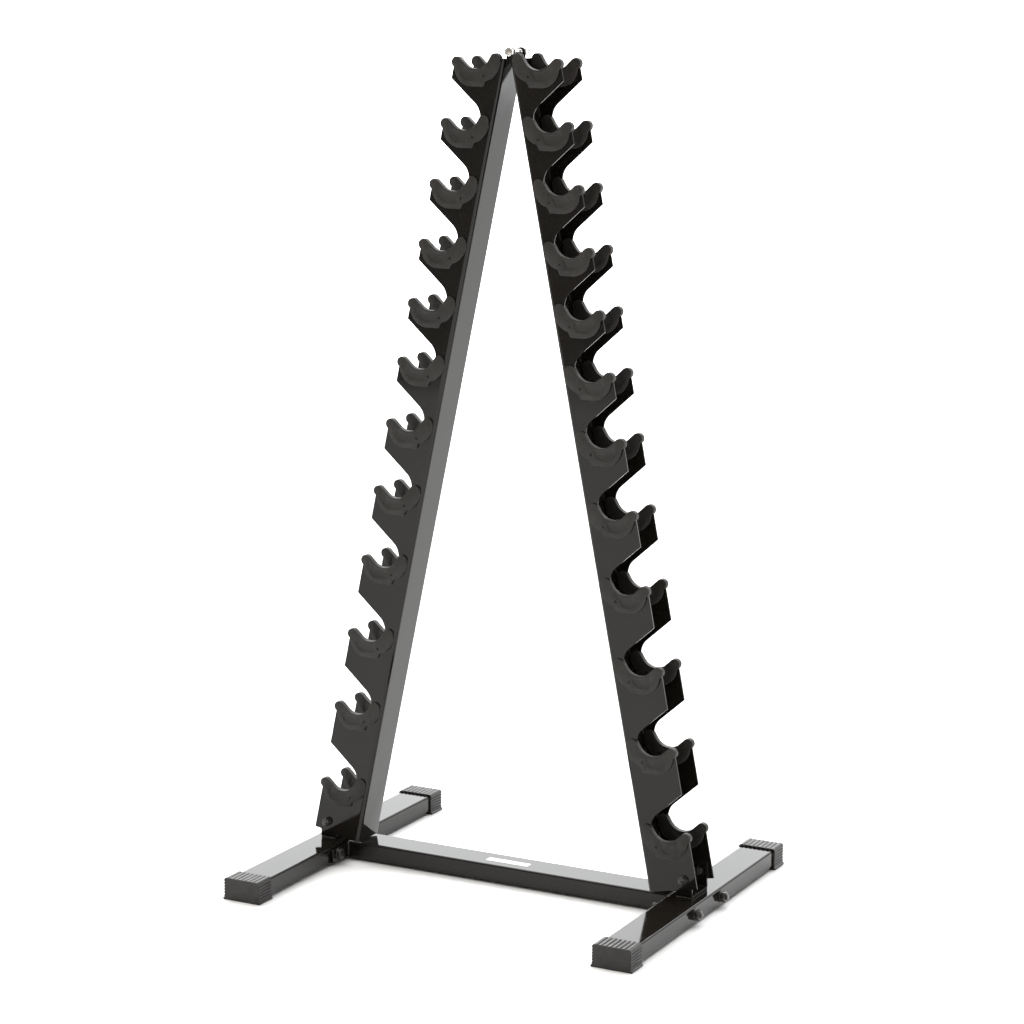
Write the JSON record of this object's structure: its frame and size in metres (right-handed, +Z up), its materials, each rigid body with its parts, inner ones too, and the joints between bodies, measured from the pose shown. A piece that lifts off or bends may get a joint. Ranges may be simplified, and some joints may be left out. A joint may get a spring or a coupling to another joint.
{
  "type": "dumbbell rack",
  "caption": "Upright A-frame dumbbell rack: two notched steel channels lean together over long feet and a crossbar, with rubber saddles for dumbbell handles",
  "frame": {"origin": "on the floor, midway between the two feet and midway along them", "axes": "+X to the right as seen from the front, +Y to the rear along the feet, +Z up"},
  "size_m": [0.735, 0.62, 1.3795],
  "materials": {
    "frame_paint": "gloss black paint",
    "saddle_rubber": "matte dark grey moulded rubber",
    "cap_rubber": "ribbed matte black rubber",
    "zinc": "bright zinc plate"
  },
  "bodies": {
    "root": {"crossbar": "frame_paint", "upright_left": "frame_paint", "foot_left": "frame_paint", "bracket_left": "frame_paint", "end_cap_left_front": "cap_rubber", "saddle_left_front_12": "saddle_rubber", "saddle_left_front_11": "saddle_rubber", "saddle_left_front_10": "saddle_rubber", "saddle_left_front_09": "saddle_rubber", "saddle_left_front_08": "saddle_rubber", "saddle_left_front_07": "saddle_rubber", "saddle_left_front_06": "saddle_rubber", "saddle_left_front_05": "saddle_rubber", "saddle_left_front_04": "saddle_rubber", "saddle_left_front_03": "saddle_rubber", "saddle_left_front_02": "saddle_rubber", "saddle_left_front_01": "saddle_rubber", "end_cap_left_rear": "cap_rubber", "saddle_left_rear_12": "saddle_rubber", "saddle_left_rear_11": "saddle_rubber", "saddle_left_rear_10": "saddle_rubber", "saddle_left_rear_09": "saddle_rubber", "saddle_left_rear_08": "saddle_rubber", "saddle_left_rear_07": "saddle_rubber", "saddle_left_rear_06": "saddle_rubber", "saddle_left_rear_05": "saddle_rubber", "saddle_left_rear_04": "saddle_rubber", "saddle_left_rear_03": "saddle_rubber", "saddle_left_rear_02": "saddle_rubber", "saddle_left_rear_01": "saddle_rubber", "upright_right": "frame_paint", "foot_right": "frame_paint", "bracket_right": "frame_paint", "end_cap_right_front": "cap_rubber", "saddle_right_front_12": "saddle_rubber", "saddle_right_front_11": "saddle_rubber", "saddle_right_front_10": "saddle_rubber", "saddle_right_front_09": "saddle_rubber", "saddle_right_front_08": "saddle_rubber", "saddle_right_front_07": "saddle_rubber", "saddle_right_front_06": "saddle_rubber", "saddle_right_front_05": "saddle_rubber", "saddle_right_front_04": "saddle_rubber", "saddle_right_front_03": "saddle_rubber", "saddle_right_front_02": "saddle_rubber", "saddle_right_front_01": "saddle_rubber", "end_cap_right_rear": "cap_rubber", "saddle_right_rear_12": "saddle_rubber", "saddle_right_rear_11": "saddle_rubber", "saddle_right_rear_10": "saddle_rubber", "saddle_right_rear_09": "saddle_rubber", "saddle_right_rear_08": "saddle_rubber", "saddle_right_rear_07": "saddle_rubber", "saddle_right_rear_06": "saddle_rubber", "saddle_right_rear_05": "saddle_rubber", "saddle_right_rear_04": "saddle_rubber", "saddle_right_rear_03": "saddle_rubber", "saddle_right_rear_02": "saddle_rubber", "saddle_right_rear_01": "saddle_rubber", "apex_bolt": "zinc"}
  },
  "joints": []
}
